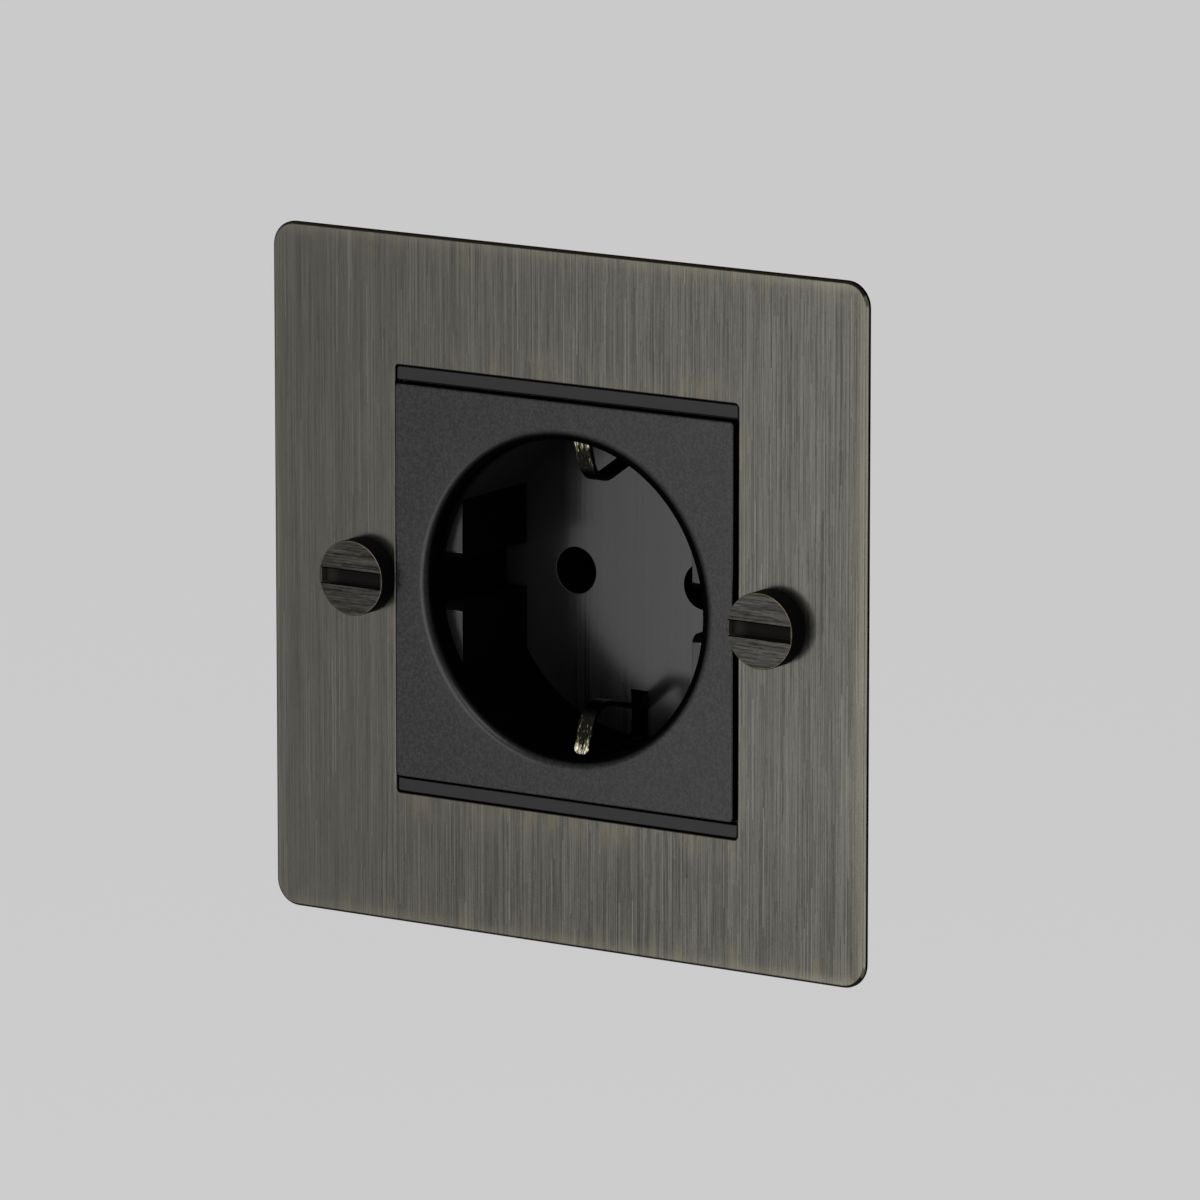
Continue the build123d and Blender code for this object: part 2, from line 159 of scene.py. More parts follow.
class Finish:
    """One finish of the object, built node by node in a material's or the world's tree."""

    def __init__(self, block):
        block.use_nodes = True
        self.block = block
        self.tree = block.node_tree
        self.tree.nodes.clear()

    def node(self, kind, settings=None, sockets=None, out=0):
        """Adds a node, sets it, fills or links its sockets, and reads one of its outputs."""
        made = self.tree.nodes.new(kind)
        for key, value in (settings or {}).items():
            setattr(made, key, value)
        for key, value in (sockets or {}).items():
            if isinstance(value, Reading):
                self.tree.links.new(value.socket, made.inputs[key])
            else:
                made.inputs[key].default_value = value
        if made.outputs:
            return Reading(self, made.outputs[out])

    def place(self):
        """X, Y and Z in millimetres, in the part's own frame."""
        spot = self.node("ShaderNodeTexCoord", out="Object")
        return [self.node("ShaderNodeSeparateXYZ", None, {0: spot}, out=axis) * (1 / mm) for axis in range(3)]

    def grain(self, per_mm, detail=2.0, rough=0.5, shift=0.0):
        """Noise between 0 and 1 with so many lumps per millimetre along X, Y and Z."""
        spot = self.node("ShaderNodeTexCoord", out="Object")
        mapping = {"Vector": spot, "Scale": [lumps / mm for lumps in per_mm], "Location": (shift,) * 3}
        spot = self.node("ShaderNodeMapping", None, mapping)
        noise = {"Vector": spot, "Scale": 1.0, "Detail": detail, "Roughness": rough}
        return self.node("ShaderNodeTexNoise", None, noise)

    def facing(self, axis):
        """How much the surface faces along an axis (0, 1 or 2 for X, Y or Z), from -1 to 1."""
        way = self.node("ShaderNodeNewGeometry", out="Normal")
        return self.node("ShaderNodeSeparateXYZ", None, {0: way}, out=axis)

    def blend(self, first, second, share):
        """The first colour where share is 0 and the second where it is 1."""
        return self.node("ShaderNodeMix", {"data_type": "RGBA"}, {0: share, 6: first, 7: second}, out=2)

    def bump(self, height, depth):
        """A relief of so many millimetres."""
        relief = {"Height": height, "Distance": depth * mm, "Strength": 1.0}
        return self.node("ShaderNodeBump", None, relief)

    def surface(self, **sockets):
        """A shader whose sockets are named in small letters."""
        titles = {key: key.replace("_", " ").title().replace("Ior", "IOR") for key in sockets}
        named = {titles[key]: value for key, value in sockets.items()}
        return self.node("ShaderNodeBsdfPrincipled", None, named)

    def dull(self, colour):
        """A shader with no shine, which paints deep shade in the given dark colour."""
        return self.surface(base_color=colour, roughness=0.7, specular_ior_level=0.0)

    def either(self, first, second, share):
        """The first shader where share is 0 and the second where it is 1."""
        return self.node("ShaderNodeMixShader", None, {0: share, 1: first, 2: second})

    def cover(self, shader, *pieces):
        """Ends the finish with this shader and puts it on the pieces."""
        self.node("ShaderNodeOutputMaterial", None, {"Surface": shader})
        self.dress(*pieces)

    def dress(self, *pieces):
        """Puts the finish on the pieces."""
        for piece in pieces:
            piece.data.materials.clear()
            piece.data.materials.append(self.block)


def paint(red, green, blue):
    """A screen colour from 0 to 255 as the light that it stands for."""
    steps = [value / 255 for value in (red, green, blue)]
    return [step / 12.92 if step <= 0.04045 else ((step + 0.055) / 1.055) ** 2.4 for step in steps] + [1.0]


def bare_brass(name, fresh, tarnished):
    """Uncoated brass with drawing lines along Y and soft tarnish."""
    brass = Finish(bpy.data.materials.new(name))
    lines = brass.grain((6, 0.15, 6), detail=3)
    tarnish = brass.grain((0.25, 0.25, 0.25), detail=4, rough=0.6)
    shader = brass.surface(
        base_color=brass.blend(tarnished, fresh, tarnish.rise(0.3, 0.7) * 0.7 + lines * 0.3),
        metallic=1.0,
        roughness=0.24 + tarnish * 0.16 + lines * 0.08,
        normal=brass.bump(lines, depth=0.004),
    )
    return brass, shader


brass, shader = bare_brass("contact_brass", fresh=paint(214, 182, 112), tarnished=paint(160, 126, 70))
brass.cover(shader, *(eased(sleeve, round_over=0.1) for sleeve in ("left_contact", "right_contact")))


# Terminals: drawn brass blocks with a wire tunnel and a tapped hole for the clamp screw.
# Two stand on the contact webs, one on the earth strap and one on the back of the plate.
brass, shader = bare_brass("terminal_brass", fresh=paint(222, 196, 132), tarnished=paint(176, 146, 88))
blocks = ("left_terminal", "right_terminal", "earth_terminal", "plate_earth_terminal")
brass.cover(shader, *(eased(block, round_over=0.25) for block in blocks))


# Clamp screws and housing screws: slotted heads on turned steel, plated in bright zinc.
# One clamp screw goes into each terminal, and two long screws hold the housing to the cover.
zinc = Finish(bpy.data.materials.new("bright_zinc"))
turning_lines = zinc.grain((3, 3, 3), detail=3)
spangle = zinc.grain((1.2, 1.2, 1.2), shift=2.0)
shader = zinc.surface(
    base_color=zinc.blend(paint(168, 170, 172), paint(208, 209, 210), spangle),
    metallic=1.0,
    roughness=0.26 + turning_lines * 0.16,
    normal=zinc.bump(turning_lines, depth=0.006),
)
screw_sets = ("terminal_screws", "plate_earth_screw", "housing_screws")
zinc.cover(shader, *(eased(screws, round_over=0.15) for screws in screw_sets))


# Earth strap: one strip of nickel-plated brass, flat behind the socket's floor.
# Its two ends are bent forward into the sprung clips, and plugs have rubbed them bright.
# Off the rubbed legs the strap is painted near black as shade, and deeper in a dull painted shade takes over.
strap_painted_shade = paint(18, 17, 14)
strap_handled = paint(28, 27, 22)
strap_rubbed = paint(140, 134, 102)
strap_bright = paint(255, 251, 232)
shade_dark = paint(7, 7, 6)
shade_light = paint(12, 11, 10)
# Depths in millimetres at which a soft change starts and ends
tip_ends = (2.6, 3.5)
rubbed_leg_ends = (3.9, 4.7)
deep_shade_starts = (8.0, 12.0)
strap = Finish(bpy.data.materials.new("rubbed_nickel"))
x, y, z = strap.place()
rub = strap.grain((4.5, 0.9, 0.9), detail=3, rough=0.7)
patch = strap.grain((2.0, 2.4, 2.4), rough=0.6, shift=4.0)
on_leg = 1 - y.rise(*rubbed_leg_ends)
at_tip = 1 - y.rise(*tip_ends)
off_middle = abs(x).rise(0.2, 0.8)
on_upper_clip = z.rise(-1.0, 1.0)
wear = rub * 0.8 + patch * 0.2 + off_middle * 0.05 + at_tip * 0.2 + on_upper_clip * 0.02 - 0.06
colour = strap.blend(strap_painted_shade, strap_handled, on_leg)
colour = strap.blend(colour, strap_rubbed, wear.rise(0.54, 0.64) * on_leg)
colour = strap.blend(colour, strap_bright, wear.rise(0.63, 0.72) * on_leg)
metal = strap.surface(
    base_color=colour,
    metallic=1.0,
    roughness=0.2 + rub * 0.2,
    normal=strap.bump(rub * 0.5 + patch * 0.5, depth=0.04),
)
# Painted shade for the strap's deeper part.
shaded = strap.dull(strap.blend(shade_dark, shade_light, patch))
shader = strap.either(metal, shaded, y.rise(*deep_shade_starts))
strap.cover(shader, eased("earth_strap", round_over=0.12))


# Contact base: the recess floor and its guide blocks, moulded in polished black plastic.
# Faint upright lines of the mould show on the floor, with scratches from plugs.
line_dark = paint(5, 5, 5)
line_light = paint(20, 20, 20)
left_painted_light = paint(27, 27, 27)
block_shade_dark = paint(5, 5, 5)
block_shade_light = paint(9, 9, 9)
floor_depth = 16.1
# Depths, and then radii, at which a soft change starts and ends
block_front_ends = (2.0, 3.0)
block_side_starts = (3.0, 4.0)
recess_ends = (20.98, 21.45)
base = Finish(bpy.data.materials.new("polished_black"))
x, y, z = base.place()
mould_lines = base.grain((3.0, 0.3, 0.02), rough=0.7)
fine = base.grain((6, 6, 1.2), detail=3, rough=0.6)
scratch = base.grain((0.5, 0.5, 3.5), shift=7.0)
scratched_spots = base.grain((0.12, 0.12, 0.12), detail=1, shift=2.0).rise(0.56, 0.66)
scratches = (1 - (abs(scratch - 0.5) * 40).least(1.0)) * scratched_spots
# The floor is painted lighter towards the left, as painted light on the shaded side of the recess.
painted_light_at_left = 1 - x.rise(-18.0, -9.0)
colour = base.blend(line_dark, line_light, mould_lines.rise(0.3, 0.7))
colour = base.blend(colour, left_painted_light, painted_light_at_left)
polished = base.surface(
    base_color=colour,
    roughness=0.15 + mould_lines * 0.08 + scratches * 0.08,
    specular_ior_level=0.68,
    normal=base.bump(mould_lines * 0.7 + fine * 0.3, depth=0.003),
)
# The guide blocks' sides and part of their fronts are painted dull and dark as shade.
shaded = base.dull(base.blend(block_shade_dark, block_shade_light, fine))
upright = 1 - abs(base.facing(1)).rise(0.97, 0.995)
above_floor = y.rise(*block_side_starts) * (1 - y.rise(floor_depth - 0.05, floor_depth - 0.01))
in_recess = 1 - (x * x + z * z).root().rise(*recess_ends)
block_sides_painted_shade = upright.most(above_floor) * in_recess * base.facing(0).rise(-0.5, -0.2)
block_fronts_painted_shade = 0.25 * (1 - y.rise(*block_front_ends))
shader = base.either(polished, shaded, block_sides_painted_shade.most(block_fronts_painted_shade))
base.cover(shader, eased("contact_base", round_over=0.14))


# Socket cover: the square face and the recess wall, one moulding in near-black plastic.
# The mould's spark-eroded grain makes the face matt; the recess wall is painted dull and dark as shade.
grain_dark = paint(1, 1, 1)
grain_light = paint(39, 39, 39)
rim_wear_and_painted_light = paint(46, 46, 46)
wall_shade_dark = paint(4, 4, 4)
wall_painted_light = paint(30, 30, 30)
# Radii, and then depths, at which a soft change starts and ends
rim_wear_and_light_ends = (20.6, 23.6)
rim_ends = (20.3, 21.3)
face_edge_ends = (0.5, 0.7)
face = Finish(bpy.data.materials.new("matt_black"))
x, y, z = face.place()
texture = face.grain((2.4, 2.4, 2.4), rough=0.7)
cloud = face.grain((0.12, 0.12, 0.12), detail=3)
radius = (x * x + z * z).root()
colour = face.blend(grain_dark, grain_light, texture.rise(0.3, 0.7) * 0.8 + cloud * 0.2)
# Near the rim on the left the face is painted lighter: rubbed by plugs, and a painted light on the rounded rim.
wear_and_painted_light = (1 - radius.rise(*rim_wear_and_light_ends)) * (1 - x.rise(-19.0, -4.0))
grained = face.surface(
    base_color=face.blend(colour, rim_wear_and_painted_light, wear_and_painted_light * 0.3),
    roughness=0.22 + texture * 0.08,
    specular_ior_level=0.34,
    normal=face.bump(texture, depth=0.01),
)
# The recess wall and the face's side edges are painted dull and dark as shade; the wall is painted lighter at
# its upper left.
painted_light_upper_left = z.rise(0.0, 14.0) * (1 - x.rise(-10.0, 2.0)) * y.rise(0.5, 3.0)
shaded = face.dull(face.blend(wall_shade_dark, wall_painted_light, painted_light_upper_left))
# The painted shade reaches further out over the rounded rim at the right and the top than elsewhere.
shade_radius = radius - x.most(0.0) * 0.04 - x.least(0.0) * 0.008 - z * 0.015
looks_left = 1 - face.facing(0).rise(-0.5, -0.2)
in_recess = (1 - shade_radius.rise(*rim_ends)) * (1 - y.rise(0.3, 1.0) * looks_left)
painted_shade_edge = (1 - abs(face.facing(1)).rise(0.3, 0.8)) * (1 - y.rise(*face_edge_ends))
shader = face.either(grained, shaded, in_recess.most(painted_shade_edge))
face.cover(shader, eased("socket_cover", round_over=0.1))


# Rear housing: a plain dark grey moulding that closes the contacts in from behind.
# Flow marks show on it, and its bays are open for the three wires; its front is painted black as shade.
grey_dark = paint(58, 59, 61)
grey_light = paint(78, 78, 79)
front_shade = paint(5, 5, 5)
front_ends = (19.2, 19.4)
strap_bay_half_width = (5.0, 5.2)
strap_bay_half_height = (20.0, 20.2)
bay_shade_ends = (23.5, 28.0)
housing = Finish(bpy.data.materials.new("plain_grey_moulding"))
x, y, z = housing.place()
texture = housing.grain((4, 4, 4), detail=3, rough=0.6)
flow = housing.grain((0.06, 0.06, 0.2), detail=3)
moulded = housing.surface(
    base_color=housing.blend(grey_dark, grey_light, texture * 0.35 + flow * 0.65),
    roughness=0.42 + texture * 0.16,
    normal=housing.bump(texture, depth=0.02),
)
# Painted shade: the front and the front end of the middle bay are painted black.
front_painted_shade = (1 - y.rise(*front_ends)) * (1 - housing.facing(1).rise(-0.7, -0.3))
strap_bay_painted_shade = (1 - abs(x).rise(*strap_bay_half_width)) * (1 - abs(z).rise(*strap_bay_half_height))
strap_bay_painted_shade = strap_bay_painted_shade * (1 - y.rise(*bay_shade_ends))
shader = housing.either(moulded, housing.dull(front_shade), front_painted_shade.most(strap_bay_painted_shade))
housing.cover(shader, eased("rear_housing", round_over=0.3))


# Module frame: one smooth moulding of black plastic, held behind the plate's window by the stud nuts.
# It carries the socket, and its two narrow strips fill the window above and below the face.
strip_dark = paint(8, 8, 8)
strip_light = paint(16, 16, 16)
edge_shade = paint(5, 5, 5)
strip_edge_ends = (0.5, 0.7)
ring = Finish(bpy.data.materials.new("smooth_black"))
_, y, _ = ring.place()
texture = ring.grain((3, 3, 3), detail=3, rough=0.6)
smooth = ring.surface(
    base_color=ring.blend(strip_dark, strip_light, texture),
    roughness=0.4 + texture * 0.1,
    specular_ior_level=0.34,
    normal=ring.bump(texture, depth=0.003),
)
# The side edges near the front are painted dull and dark as shade.
painted_shade_edge = (1 - abs(ring.facing(1)).rise(0.5, 0.8)) * (1 - y.rise(*strip_edge_ends))
shader = ring.either(smooth, ring.dull(edge_shade), painted_shade_edge)
ring.cover(shader, eased("module_frame", round_over=0.08))


# Studs: two threaded steel studs, welded on the back of the plate above and below the window.
# Their threads are rolled, with a short lead at the tip for the nut.
def pick_faces(piece, test):
    """Goes into face editing with only those faces selected whose middle and direction pass the test."""
    bpy.ops.object.mode_set(mode="EDIT")
    bpy.ops.mesh.select_mode(type="FACE")
    bpy.ops.mesh.select_all(action="DESELECT")
    bpy.ops.object.mode_set(mode="OBJECT")
    for polygon in piece.data.polygons:
        polygon.select = test(polygon.center, polygon.normal)
    bpy.ops.object.mode_set(mode="EDIT")


def thread(name, axis, start, end, radius, pitch):
    """A thread along Y between two depths: a V wound round the axis and cut off at both ends."""
    depth = 0.6 * pitch
    lead = 1.2 * pitch
    tip_share = 0.7
    steps = 32
    triangle_side = math.sqrt(3)
    triangle_height = 1.5
    bpy.ops.object.select_all(action="DESELECT")
    bpy.ops.mesh.primitive_circle_add(
        vertices=3, radius=1, rotation=(0, 0, -math.pi / 2), location=(axis[0], start - pitch, axis[1])
    )
    piece = bpy.context.active_object
    piece.name = name
    piece.scale = (pitch / triangle_side, depth / triangle_height, 1)
    bpy.ops.object.transform_apply(location=False)
    bpy.ops.object.mode_set(mode="EDIT")
    bpy.ops.transform.translate(value=(radius - depth / triangle_height, 0, 0))
    bpy.ops.mesh.select_all(action="DESELECT")
    bpy.ops.object.mode_set(mode="OBJECT")
    for vertex in piece.data.vertices:
        vertex.select = vertex.co.x < radius - depth / 2
    bpy.ops.object.mode_set(mode="EDIT")
    bpy.ops.mesh.select_mode(type="VERT")
    bpy.ops.mesh.delete(type="EDGE")
    bpy.ops.object.mode_set(mode="OBJECT")
    turns = math.ceil((end - start) / pitch) + 2
    wind = {"axis": "Y", "screw_offset": pitch, "iterations": turns, "steps": steps, "render_steps": steps}
    shape_with(piece, "SCREW", **wind)
    bpy.ops.object.transform_apply(location=True)
    bpy.ops.object.mode_set(mode="EDIT")
    bpy.ops.mesh.select_all(action="SELECT")
    bpy.ops.mesh.remove_doubles(threshold=weld_distance)
    bpy.ops.mesh.bisect(plane_co=(0, start, 0), plane_no=(0, 1, 0), use_fill=True, clear_inner=True)
    bpy.ops.mesh.select_all(action="SELECT")
    bpy.ops.mesh.bisect(plane_co=(0, end - lead, 0), plane_no=(0, 1, 0), use_fill=True, clear_outer=True)
    # Points within 0.1 mm of a cut stay where they are, so the caps are a little uneven.
    # A cap whose middle lies past the cut is drawn out into a lead, and any other stays as it is.
    pick_faces(piece, lambda middle, way: middle.y > end - lead - weld_distance)
    bpy.ops.mesh.extrude_region_move(TRANSFORM_OT_translate={"value": (0, lead, 0)})
    bpy.ops.transform.resize(value=(tip_share, 1, tip_share), center_override=(axis[0], end, axis[1]))
    bpy.ops.mesh.select_all(action="SELECT")
    bpy.ops.mesh.normals_make_consistent(inside=False)
    bpy.ops.object.mode_set(mode="OBJECT")
    bpy.ops.object.shade_smooth_by_angle(angle=math.radians(35))
    return piece


def joined(*pieces):
    """One object from several."""
    take(pieces[0])
    for piece in pieces:
        piece.select_set(True)
    bpy.ops.object.join()
    return pieces[0]


def paired(piece, shift):
    """A piece together with a copy of itself, moved by the shift."""
    take(piece)
    bpy.ops.object.duplicate_move(TRANSFORM_OT_translate={"value": shift})
    bpy.ops.object.transform_apply(location=True)
    return joined(piece, bpy.context.active_object)


stud_pitch = 0.45 * mm
stud_low, stud_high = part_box("plate_studs")
stud_radius = stud_high.x
stud_rise = stud_high.z - stud_radius
stud = thread("threaded_studs", (0, stud_rise), stud_low.y, stud_high.y, stud_radius, stud_pitch)
studs = paired(stud, (0, 0, -2 * stud_rise))
stand_for(studs, "plate_studs")
zinc.dress(studs)


# Stud nuts: hexagon nuts of plated steel, which press the frame against the back of the plate.
# Their corners are turned down on both faces, and the studs' threads run through them.
squarely = 0.9  # a face looks along Y if its normal has at least this much of Y


def rod(name, middle, radius, length, corners, turn=0.0):
    """A round or cornered rod along Y."""
    bpy.ops.object.select_all(action="DESELECT")
    bpy.ops.mesh.primitive_cylinder_add(
        vertices=corners, radius=radius, depth=length, location=middle, rotation=(math.pi / 2, turn, 0)
    )
    bpy.ops.object.transform_apply()
    piece = bpy.context.active_object
    piece.name = name
    return piece


def cut(piece, tool, operation):
    """Cuts a piece with another one, which is used up."""
    bpy.context.view_layer.objects.active = piece
    shape_with(piece, "BOOLEAN", operation=operation, object=tool)
    bpy.data.objects.remove(tool)


nut_clearance = 0.05 * mm
nut_face_share = 0.95
half_corner = math.radians(30)
nut_low, nut_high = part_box("stud_nuts")
nut_corner = nut_high.x
nut_face = nut_face_share * nut_corner * math.cos(half_corner)
nut_length = nut_high.y - nut_low.y
turned_down = (nut_corner - nut_face) * math.tan(half_corner)
nut_middle = (0, (nut_low.y + nut_high.y) / 2, stud_rise)
nut = rod("stud_nuts_turned", nut_middle, nut_corner, nut_length, corners=6, turn=half_corner)
blank = rod("turned_blank", nut_middle, nut_corner, nut_length - 2 * turned_down, corners=64)
hole = rod("tapped_hole", nut_middle, stud_radius + nut_clearance, 2 * nut_length, corners=48)
end_share = nut_face / nut_corner
for way_out in (-1, 1):
    take(blank)
    pick_faces(blank, lambda middle, way: way.y * way_out > squarely)
    bpy.ops.mesh.extrude_region_move(TRANSFORM_OT_translate={"value": (0, way_out * turned_down, 0)})
    bpy.ops.transform.resize(value=(end_share, 1, end_share), center_override=nut_middle)
    bpy.ops.object.mode_set(mode="OBJECT")
cut(nut, blank, "INTERSECT")
cut(nut, hole, "DIFFERENCE")
soften(nut, round_over=0.05, crease=25)
nuts = paired(nut, (0, 0, -2 * stud_rise))
stand_for(nuts, "stud_nuts")
zinc.dress(nuts)


# Front plate: sheet metal brushed from top to bottom, with a smoked bronze coat.
# The coat is rubbed thin along the eased edges; the cut edges and the chamfers that look up, down or left are
# painted almost black as shade.
def strokes(finish, across, along, width, length, layer):
    """Brush strokes side by side, of this width and length in millimetres, each with its chance shade."""
    layer_step = 0.37
    stagger = 9.0
    column = (across * (1 / width)).whole()
    seed = column + layer * layer_step
    start = finish.node("ShaderNodeTexWhiteNoise", {"noise_dimensions": "1D"}, {"W": seed})
    row = (along * (1 / length) + start * stagger).whole()
    stroke = finish.node("ShaderNodeCombineXYZ", None, {0: column, 1: row, 2: layer})
    return finish.node("ShaderNodeTexWhiteNoise", {"noise_dimensions": "3D"}, {"Vector": stroke})


smoke = paint(56, 56, 53)
bronze = paint(96, 95, 90)
glint = paint(130, 128, 118)
warm_stroke = paint(94, 91, 79)
warm_end = paint(101, 95, 81)
edge_wear_and_highlight = paint(126, 121, 107)
side_shade_dark = paint(6, 6, 5)
side_shade_brown = paint(34, 29, 24)
plate_low, plate_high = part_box("front_plate")
plate_half = plate_high.x / mm
window_half_width = 25.25
window_half_height = 27.11
plate = Finish(bpy.data.materials.new("smoked_bronze_plate"))
x, _, z = plate.place()
hair = plate.grain((4.0, 0, 0.04), detail=0)
long_stroke = strokes(plate, across=x, along=z, width=0.1, length=46.0, layer=1.0)
stroke = strokes(plate, across=x, along=z, width=0.13, length=15.0, layer=2.0)
short_stroke = strokes(plate, across=x, along=z, width=0.16, length=4.0, layer=3.0)
fleck = plate.grain((3.6, 0, 1.4), detail=1, rough=0.8, shift=8.0)
streak = plate.grain((0.6, 0, 0.02), detail=1, rough=0.8, shift=3.0)
cloud = plate.grain((0.05, 0, 0.03), shift=5.0)
patchy = plate.grain((0.5, 0, 0.12), detail=3, rough=0.6, shift=6.0).rise(0.4, 0.7)
tone = long_stroke * 0.24 + stroke * 0.3 + short_stroke * 0.2 + fleck * 0.2
tone = tone + streak * 0.03 + cloud * 0.03 - 0.5
# Towards the right the strokes' contrast grows as a painted highlight, and the lower part is painted darker as
# shade.
highlight_contrast_to_right = x.rise(-44.0, 10.0)
painted_shade_at_bottom = (1 - z.rise(-44.0, -16.0)) * x.rise(-40.0, -5.0)
tone = 0.5 + tone * (0.3 + 0.22 * highlight_contrast_to_right) - 0.06 * painted_shade_at_bottom
colour = plate.blend(smoke, bronze, tone.rise(0.24, 0.76))
colour = plate.blend(colour, glint, stroke.rise(0.92, 1.0) * 0.2)
colour = plate.blend(colour, warm_stroke, long_stroke.rise(0.5, 0.9) * 0.16)
to_rim = plate_half - abs(x).most(abs(z))
to_end = plate_half - abs(z)
to_window = ((abs(x) - window_half_width) * 3).most(abs(z) - window_half_height)
warm = (1 - to_end.least(to_window).rise(0.5, 5.0)) * patchy
colour = plate.blend(colour, warm_end, warm * 0.5)
# Along the outer edges the coat is rubbed thin, and it is painted lighter still towards the right edge as a
# painted highlight.
wear_and_painted_light = (1 - to_rim.rise(0.2, 1.9)) * (0.4 + 0.4 * x.rise(20.0, 44.0))
metal = plate.surface(
    base_color=plate.blend(colour, edge_wear_and_highlight, wear_and_painted_light * (0.2 + hair * 0.45)),
    metallic=1.0,
    roughness=0.205 + hair * 0.08,
    anisotropic=0.6,
    normal=plate.bump(hair * 0.7 + streak * 0.3, depth=0.002),
)
# The cut edges and the chamfers that don't look right are painted almost black as shade.
to_room = abs(plate.facing(1))
painted_shade_on_sides = plate.dull(plate.blend(side_shade_dark, side_shade_brown, to_room.rise(0.3, 0.75)))
faces_right_unshaded = (plate.facing(0) - 1.5 * abs(plate.facing(2))).rise(0.0, 0.15) * to_room.rise(0.2, 0.5)
shaded_side = (1 - to_room.rise(0.8, 0.97)) * (1 - faces_right_unshaded)
shader = plate.either(metal, painted_shade_on_sides, shaded_side)
plate.cover(shader, eased("front_plate", round_over=0.1))


# Coin screws: two slotted round heads in the plate's finish, brushed across, on threaded shanks.
# They are turned steel and hold the plate to the wall box.
coin_low, coin_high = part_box("coin_screws")
coin_radius = coin_high.z
screw_x = coin_high.x - coin_radius
head_front = coin_low.y
head_back = plate_low.y
head_middle = (screw_x, (head_front + head_back) / 2, 0)
neck_radius = 2.0 * mm
neck_end = 1.0 * mm
slot_half_length = 4.4 * mm
slot_half_width = 0.875 * mm
slot_depth = 1.3 * mm
shank_radius = 1.75 * mm
shank_pitch = 0.6 * mm


def on_front(middle, way):
    """Faces of the head that look into the room."""
    return way.y < -squarely


def in_slot_band(middle, way):
    """Those of them that lie between the slot's two flanks."""
    return on_front(middle, way) and abs(middle.z) < slot_half_width


def in_slot_mouth(middle, way):
    """The one of those that lies between the slot's two ends."""
    return in_slot_band(middle, way) and abs(middle.x - screw_x) < slot_half_width


head = rod("coin_screws_turned", head_middle, coin_radius, head_back - head_front, corners=96)
for flank in (slot_half_width, -slot_half_width):
    pick_faces(head, on_front)
    bpy.ops.mesh.bisect(plane_co=(screw_x, 0, flank), plane_no=(0, 0, 1))
for end in (slot_half_length, -slot_half_length):
    pick_faces(head, in_slot_band)
    bpy.ops.mesh.bisect(plane_co=(screw_x + end, 0, 0), plane_no=(1, 0, 0))
pick_faces(head, in_slot_mouth)
bpy.ops.mesh.extrude_region_move(TRANSFORM_OT_translate={"value": (0, slot_depth, 0)})
pick_faces(head, lambda middle, way: way.y > squarely)
bpy.ops.mesh.inset(thickness=coin_radius - neck_radius)
bpy.ops.mesh.extrude_region_move(TRANSFORM_OT_translate={"value": (0, neck_end - head_back, 0)})
bpy.ops.object.mode_set(mode="OBJECT")
soften(head, round_over=0.2)
# This thread gets no lead and ends 0.6 mm short of the solid's tip.
shank = thread("coin_thread", (screw_x, 0), neck_end, coin_high.y, shank_radius, shank_pitch)
coins = paired(joined(head, shank), (-2 * screw_x, 0, 0))
stand_for(coins, "coin_screws")

coin_smoke = paint(22, 22, 20)
coin_bronze = paint(76, 75, 71)
coin_rim_highlight = paint(140, 120, 91)
coin_side_shade = paint(9, 8, 8)
slot_shade_dark = paint(12, 11, 10)
slot_shade_light = paint(28, 25, 24)
slot_left_painted_light = paint(58, 57, 52)
rim_starts = (4.42, 4.53)
flank_starts = (4.58, 4.67)
slot_side = slot_half_width / mm
front_depth = head_front / mm
back_depth = head_back / mm
coin = Finish(bpy.data.materials.new("smoked_bronze_screw"))
x, y, z = coin.place()
hair = coin.grain((0.16, 6, 6), rough=0.7)
blot = coin.grain((0.7, 5, 5), rough=0.7, shift=3.0)
tone = strokes(coin, across=z, along=x, width=0.14, length=5.0, layer=4.0) * 0.14
tone = tone + hair * 0.43 + blot * 0.43
off_axis = abs(x) - screw_x / mm
from_axis = (off_axis * off_axis + z * z).root()
# A golden ring round the front edge is a painted highlight, fainter level with the slot.
rim_highlight = coin.facing(1).rise(-0.995, -0.95) * from_axis.rise(*rim_starts)
rim_highlight = rim_highlight * (0.2 + 0.8 * abs(z).rise(0.8, 1.1))
colour = coin.blend(coin_smoke, coin_bronze, tone.rise(0.28, 0.72))
metal = coin.surface(
    base_color=coin.blend(colour, coin_rim_highlight, rim_highlight * 0.85),
    metallic=1.0,
    roughness=0.27 + hair * 0.1,
    anisotropic=0.5,
    anisotropic_rotation=0.25,
    normal=coin.bump(hair, depth=0.002),
)
# The slot and the head's side are painted dull and dark as shade, and the slot's left end is painted lighter as
# painted light.
left_or_right = x.rise(-1.0, 1.0) * 2 - 1
along_slot = x - left_or_right * (screw_x / mm)
painted_light_at_left_end = 1 - along_slot.rise(-4.6, -2.0)
bottom = coin.blend(slot_shade_dark, slot_shade_light, hair)
bottom = coin.blend(bottom, slot_left_painted_light, painted_light_at_left_end * 0.7)
colour = coin.blend(bottom, coin_side_shade, from_axis.rise(*flank_starts))
shadowed = coin.surface(base_color=colour, roughness=0.6, specular_ior_level=0.05)
in_slot = (1 - abs(z).rise(slot_side + 0.005, slot_side + 0.025)) * (1 - from_axis.rise(*rim_starts))
in_slot = in_slot * y.rise(front_depth + 0.04, front_depth + 0.08)
on_head = 1 - y.rise(back_depth + 0.1, back_depth + 0.2)
shaded_side = (1 - abs(coin.facing(1)).rise(0.82, 0.92)).most(in_slot) * on_head
shader = coin.either(metal, shadowed, shaded_side)
coin.cover(shader, coins)


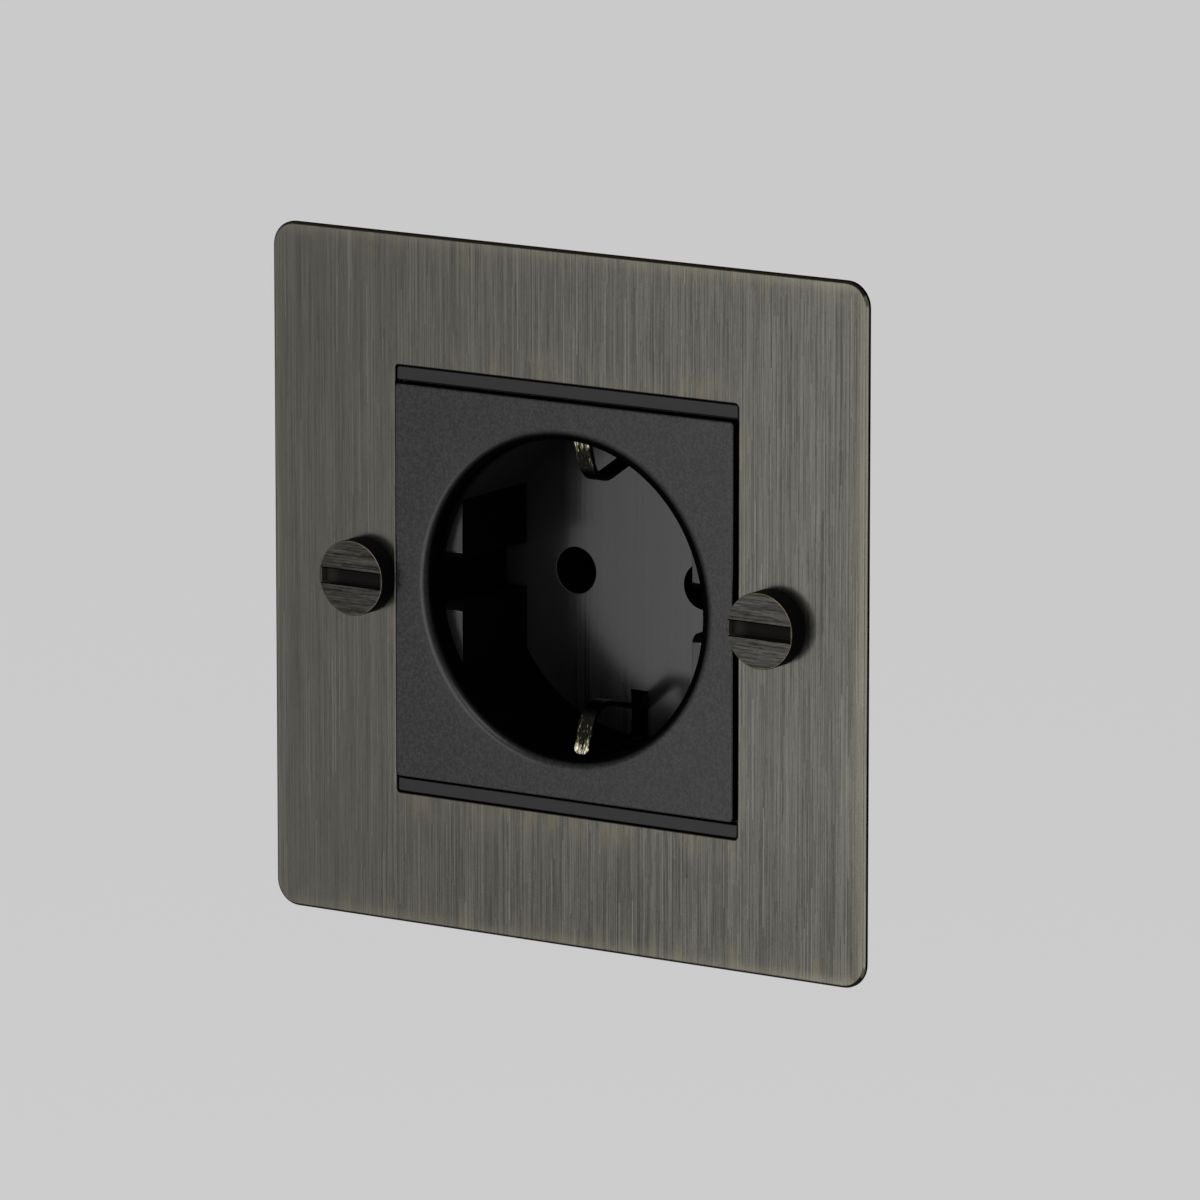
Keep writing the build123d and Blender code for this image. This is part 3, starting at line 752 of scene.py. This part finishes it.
# Stage: a plain pale floor, soft studio light and the camera where the photographer stood.
# Most of the floor's tone is its own, so that it stays even, and the rest is the light on it.
def seen(finish):
    """1 where the camera, a reflection or glass shows the finish, and 0 where it only lights other things."""
    rays = ("Is Camera Ray", "Is Glossy Ray", "Is Transmission Ray")
    camera_ray, glossy_ray, transmission_ray = [finish.node("ShaderNodeLightPath", out=ray) for ray in rays]
    return camera_ray.most(glossy_ray).most(transmission_ray)


stage_grey = paint(203, 203, 203)
floor_drop = 0.6
floor_size = 20
floor_own_share = 0.85
bpy.ops.object.select_all(action="DESELECT")
bpy.ops.mesh.primitive_plane_add(size=floor_size, location=(0, 0, cad_low.z - floor_drop))
floor = bpy.context.active_object
floor.name = "pale_floor"
pale = Finish(bpy.data.materials.new("pale_floor"))
lit = pale.node("ShaderNodeBsdfDiffuse", None, {"Color": stage_grey})
own = pale.node("ShaderNodeEmission", None, {"Color": stage_grey, "Strength": 1.08})
pale.cover(pale.either(lit, own, seen(pale) * floor_own_share), floor)

studio = Finish(bpy.data.worlds.new("studio"))
around = studio.node("ShaderNodeBackground", None, {"Color": stage_grey, "Strength": 0.8})
behind = studio.node("ShaderNodeBackground", None, {"Color": stage_grey, "Strength": 1.0})
studio.node("ShaderNodeOutputWorld", None, {"Surface": studio.either(around, behind, seen(studio))})
bpy.context.scene.world = studio.block


def softbox(name, place, width, height, glow):
    """A lamp that looks at the socket's middle, with a face that glows so many times as bright as white."""
    lamp = bpy.data.lights.new(name, "AREA")
    lamp.shape = "RECTANGLE"
    lamp.size = width
    lamp.size_y = height
    lamp.energy = glow * math.pi * width * height
    held = bpy.data.objects.new(name, lamp)
    held.location = place
    held.rotation_euler = (-held.location).to_track_quat("-Z", "Y").to_euler()
    held.visible_camera = False
    bpy.context.scene.collection.objects.link(held)


softbox("window_front_left", place=(-0.19, -0.8, -0.1), width=0.55, height=0.6, glow=1.9)
softbox("side_right", place=(0.95, -0.62, -0.24), width=0.5, height=0.5, glow=1.6)
softbox("key_front_high", place=(0.2, -1.6, 1.3), width=1.0, height=1.0, glow=3.2)
softbox("back_high", place=(-0.4, 1.6, 1.2), width=1.2, height=1.0, glow=4.2)

camera_dip = 11.376
camera_turn = 33.323
camera = bpy.data.cameras.new("camera")
camera.lens = 309.64
camera.sensor_width = 36
camera.clip_start = 0.05
camera.clip_end = 50
stand = bpy.data.objects.new("camera", camera)
stand.location = (0.6884, -1.04, 0.2509)
stand.rotation_euler = (math.radians(90 - camera_dip), 0, math.radians(camera_turn))
bpy.context.scene.collection.objects.link(stand)
bpy.context.scene.camera = stand
bpy.context.scene.view_settings.view_transform = "Standard"
